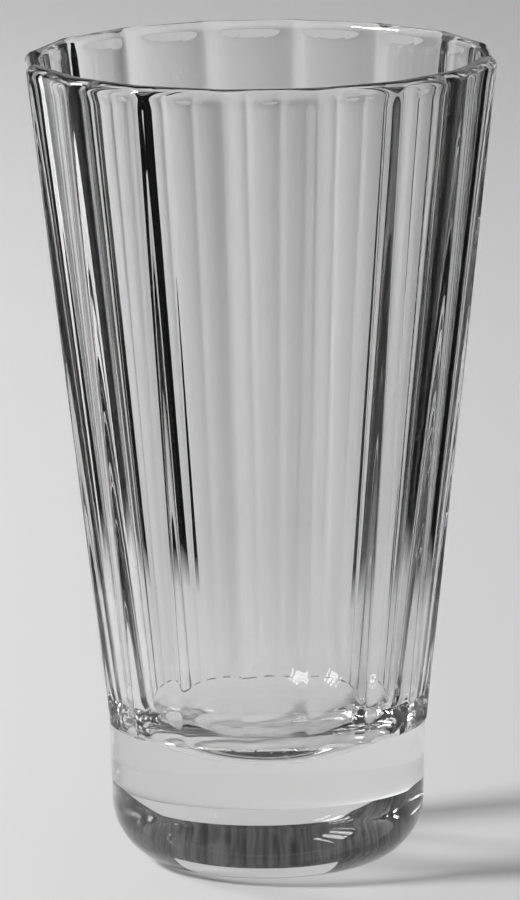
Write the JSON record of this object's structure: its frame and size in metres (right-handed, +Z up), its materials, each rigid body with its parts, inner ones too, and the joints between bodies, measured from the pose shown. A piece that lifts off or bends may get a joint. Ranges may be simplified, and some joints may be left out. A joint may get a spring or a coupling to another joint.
{
  "type": "juice glass",
  "caption": "Tall clear juice glass: thick round foot, flat panels meeting in ridges, flaring to a rounded lip. Holds a cold drink.",
  "frame": {"origin": "middle of the foot, on the surface that the glass stands on", "axes": "+Z up along the axis of the glass, towards the mouth; -Y faces the viewer, with the middle of a panel on it; +X to the right"},
  "size_m": [0.0684, 0.0684, 0.12],
  "materials": {
    "clear_glass": "clear colourless soda-lime glass, pressed and fire-polished"
  },
  "bodies": {
    "root": {"tumbler": "clear_glass"}
  },
  "joints": []
}
